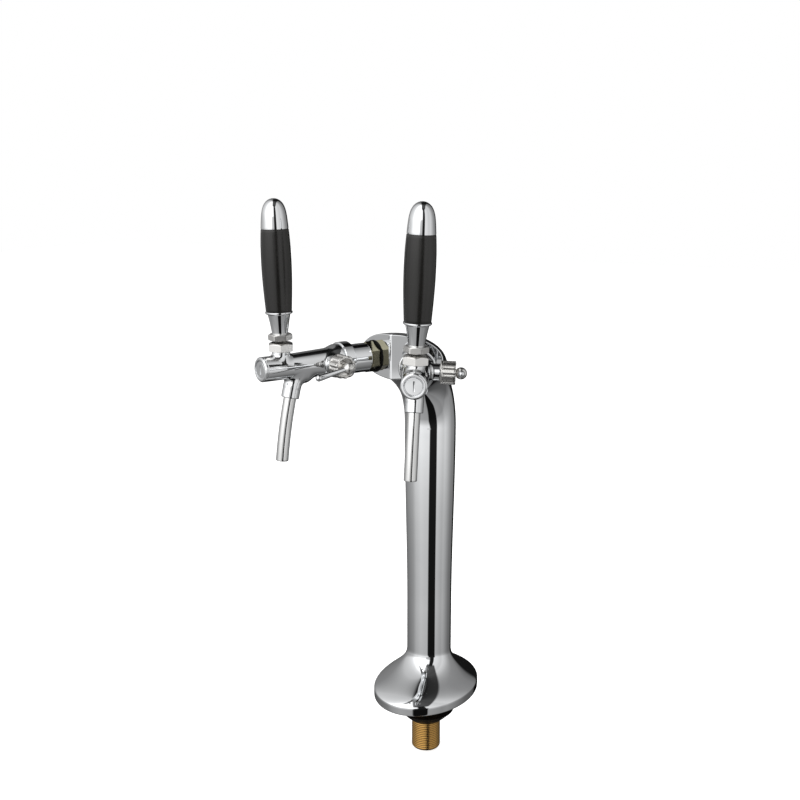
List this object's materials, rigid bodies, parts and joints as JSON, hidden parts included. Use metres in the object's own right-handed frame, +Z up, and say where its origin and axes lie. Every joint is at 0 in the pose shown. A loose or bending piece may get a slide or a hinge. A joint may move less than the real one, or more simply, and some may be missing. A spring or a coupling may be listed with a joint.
{
  "type": "beer tower",
  "caption": "Swept chrome beer tower on an oval foot, with lever taps, side compensator levers and curved stainless spouts on the slanted faces of its head.",
  "frame": {"origin": "on the mounting shank's axis, level with the counter's top surface under the foot's rubber ring", "axes": "+Z up along the shank, -Y to the front where the head's faces and the taps point, +X to the right for someone facing the taps' front ends"},
  "size_m": [0.206, 0.2714, 0.6418],
  "materials": {
    "chrome": "mirror polished",
    "nickel": "satin nickel plate",
    "stainless": "polished stainless steel",
    "zinc_steel": "zinc plated",
    "brass": "machined, unplated",
    "aged_brass": "dull nickel over brass, olive tone",
    "black_rubber": "matt",
    "black_plastic": "matt",
    "black_grip": "satin lacquer",
    "seat_plastic": "matt",
    "line_plastic": "smooth hose"
  },
  "bodies": {
    "tower": {"tower_body": "chrome", "base_plate": "zinc_steel", "base_screws": "zinc_steel", "counter_gasket": "black_rubber", "mounting_shank": "brass", "clamp_washer": "black_rubber", "clamp_nut": "black_plastic", "left_beer_line": "line_plastic", "right_beer_line": "line_plastic", "cooling_loop": "stainless", "left_tap_nipple": "brass", "left_inner_nut": "brass", "left_face_washer": "black_rubber", "left_face_nut": "aged_brass", "left_tail_tube": "chrome", "left_coupling_nut": "chrome", "left_valve_body": "chrome", "left_front_plug": "chrome", "left_spout_tube": "stainless", "left_ball_seat": "seat_plastic", "left_bonnet_nut": "nickel", "left_dust_seal": "black_rubber", "left_side_cap": "nickel", "right_tap_nipple": "brass", "right_inner_nut": "brass", "right_face_washer": "black_rubber", "right_face_nut": "aged_brass", "right_tail_tube": "chrome", "right_coupling_nut": "chrome", "right_valve_body": "chrome", "right_front_plug": "chrome", "right_spout_tube": "stainless", "right_ball_seat": "seat_plastic", "right_bonnet_nut": "nickel", "right_dust_seal": "black_rubber", "right_side_cap": "nickel"},
    "left_handle": {"left_lever_stem": "stainless", "left_jam_nut": "nickel", "left_ferrule": "chrome", "left_grip": "black_grip", "left_dome_cap": "chrome"},
    "left_piston": {"left_valve_piston": "stainless", "left_piston_seal": "black_rubber"},
    "left_flow_lever": {"left_flow_stem": "nickel", "left_flow_lever": "chrome"},
    "left_throttle": {"left_throttle_cone": "seat_plastic"},
    "right_handle": {"right_lever_stem": "stainless", "right_jam_nut": "nickel", "right_ferrule": "chrome", "right_grip": "black_grip", "right_dome_cap": "chrome"},
    "right_piston": {"right_valve_piston": "stainless", "right_piston_seal": "black_rubber"},
    "right_flow_lever": {"right_flow_stem": "nickel", "right_flow_lever": "chrome"},
    "right_throttle": {"right_throttle_cone": "seat_plastic"}
  },
  "joints": [
    {"name": "left_handle_tilt", "type": "hinge", "parent": "tower", "child": "left_handle", "pos_m": [-0.075, -0.17201, 0.4214], "axis": [0.9003, -0.4352, 0], "range_deg": [0, 13]},
    {"name": "left_piston_slide", "type": "slide", "parent": "tower", "child": "left_piston", "axis": [0.4352, 0.9003, 0], "range_m": [0, 0.0033]},
    {"name": "left_flow_turn", "type": "hinge", "parent": "tower", "child": "left_flow_lever", "pos_m": [-0.05237, -0.1252, 0.4074], "axis": [0.9003, -0.4352, 0], "range_deg": [-60, 40]},
    {"name": "left_throttle_slide", "type": "slide", "parent": "tower", "child": "left_throttle", "axis": [0.4352, 0.9003, 0], "range_m": [-0.0029, 0.002]},
    {"name": "right_handle_tilt", "type": "hinge", "parent": "tower", "child": "right_handle", "pos_m": [0.07553, -0.17176, 0.42139], "axis": [0.8995, 0.4348, -0.0419], "range_deg": [0, 13]},
    {"name": "right_piston_slide", "type": "slide", "parent": "tower", "child": "right_piston", "axis": [-0.4352, 0.9003, 0], "range_m": [0, 0.0033]},
    {"name": "right_flow_turn", "type": "hinge", "parent": "tower", "child": "right_flow_lever", "pos_m": [0.05237, -0.1252, 0.4074], "axis": [0.8995, 0.4348, -0.0419], "range_deg": [-40, 60]},
    {"name": "right_throttle_slide", "type": "slide", "parent": "tower", "child": "right_throttle", "axis": [-0.4352, 0.9003, 0], "range_m": [-0.002, 0.0029]}
  ],
  "couplings": [
    {"joint": "left_piston_slide", "follows": "left_handle_tilt", "m_per_rad": 0.014},
    {"joint": "left_throttle_slide", "follows": "left_flow_turn", "m_per_rad": 0.00275},
    {"joint": "right_piston_slide", "follows": "right_handle_tilt", "m_per_rad": 0.014},
    {"joint": "right_throttle_slide", "follows": "right_flow_turn", "m_per_rad": 0.00275}
  ]
}
